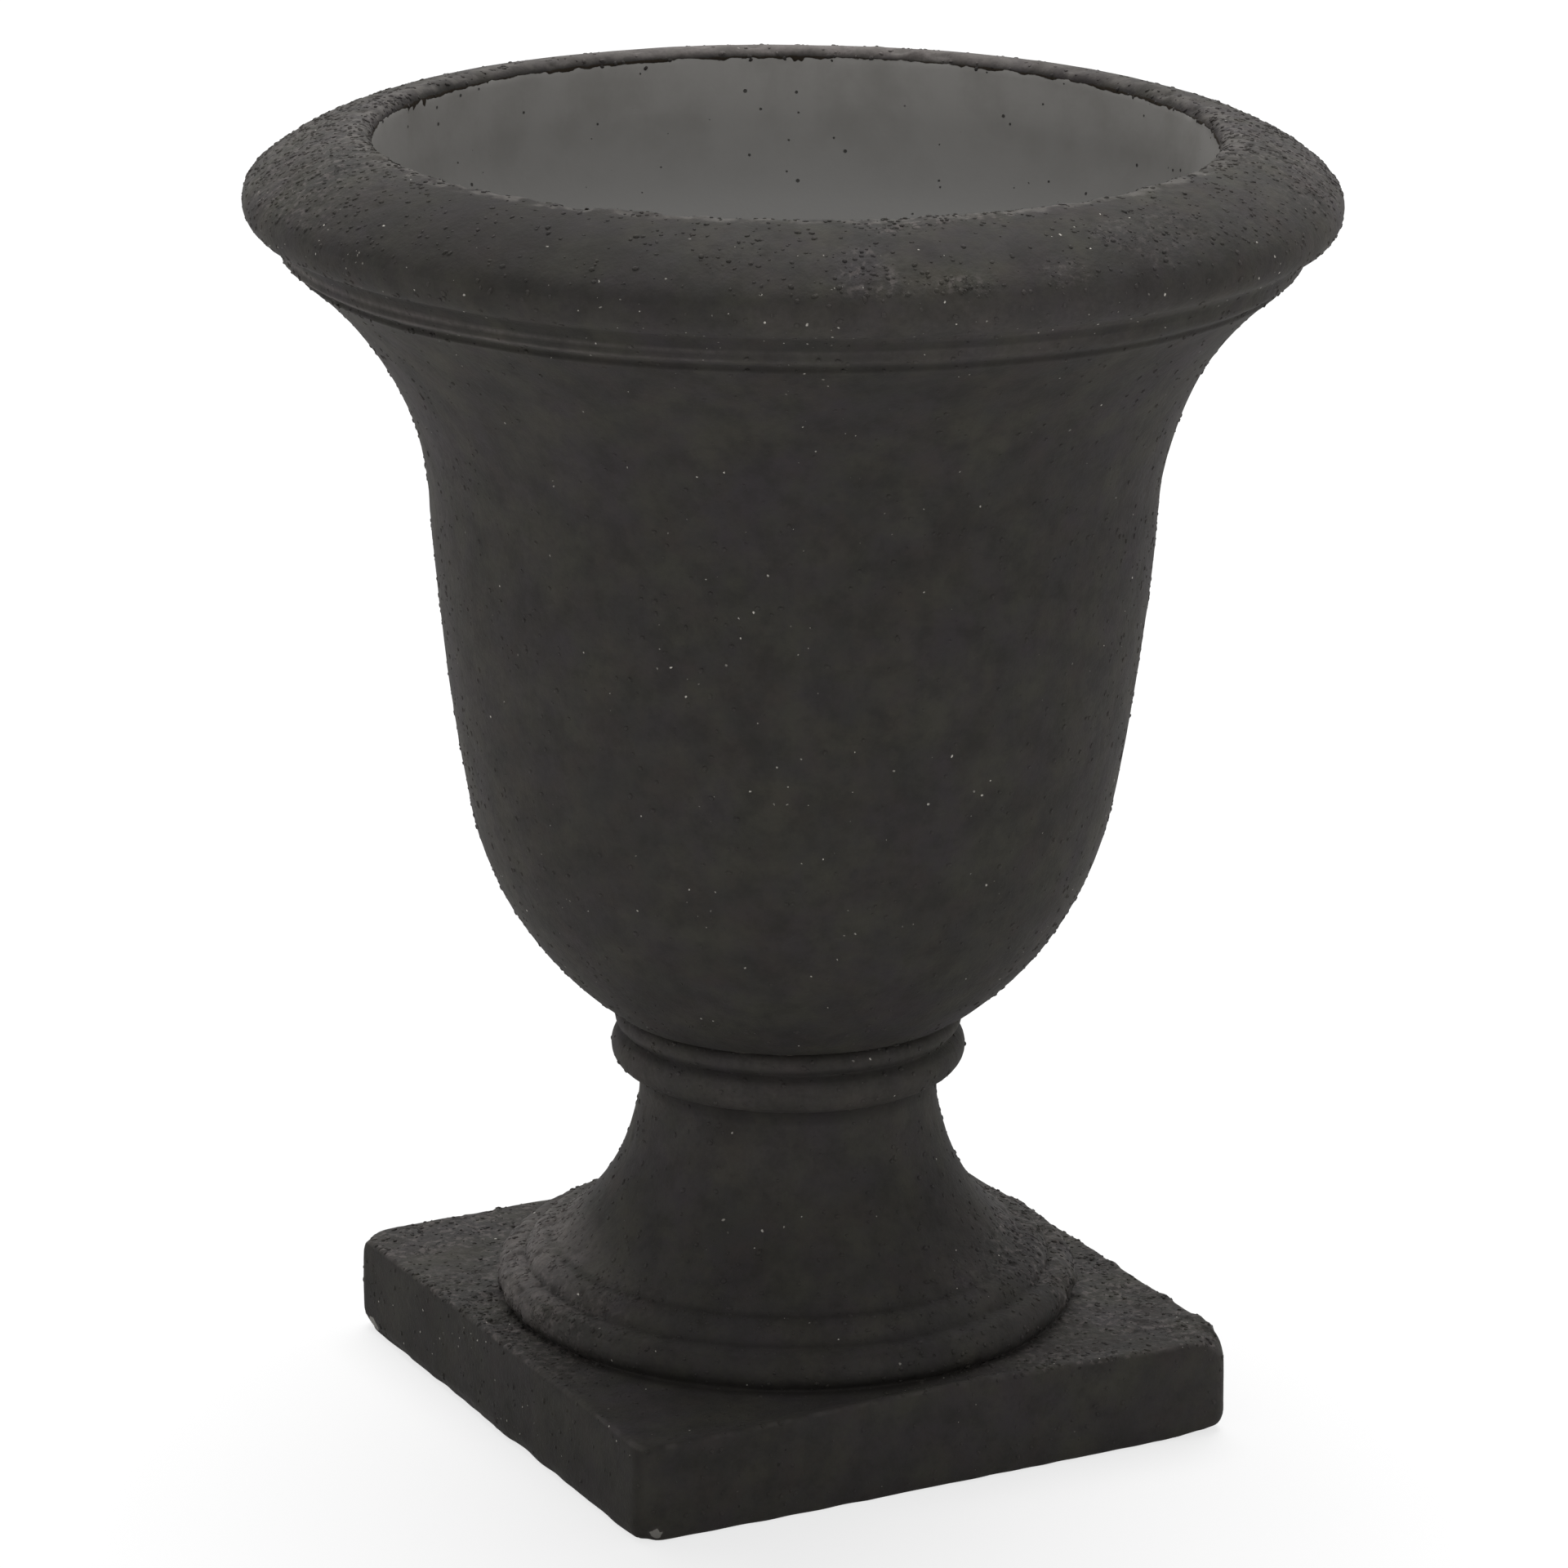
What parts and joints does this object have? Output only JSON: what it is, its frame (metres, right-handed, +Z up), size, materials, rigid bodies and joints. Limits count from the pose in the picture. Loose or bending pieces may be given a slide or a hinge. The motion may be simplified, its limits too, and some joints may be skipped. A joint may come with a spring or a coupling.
{
  "type": "garden urn planter",
  "caption": "Bell-shaped cast-stone urn planter with a rolled rim, on a turned pedestal with a square plinth, open at the top and drained through a tube in the pedestal.",
  "frame": {"origin": "centre of the plinth's underside, on the ground", "axes": "+Z up along the axis of the bowl; X and Y square to the sides of the plinth"},
  "size_m": [0.5212, 0.521, 0.6315],
  "materials": {
    "cast_stone": "rough, pitted",
    "mortar": "rough",
    "zinc_steel": "zinc plated",
    "gasket_rubber": "matt",
    "screen_steel": "dull"
  },
  "bodies": {
    "root": {"pedestal": "cast_stone", "setting_bed": "mortar", "bowl": "cast_stone", "drain_tube": "zinc_steel", "bowl_gasket": "gasket_rubber", "bowl_washer": "zinc_steel", "bowl_nut": "zinc_steel", "drain_screen": "screen_steel", "clamp_plate": "zinc_steel", "lock_washer": "zinc_steel", "clamp_nut": "zinc_steel"}
  },
  "joints": []
}
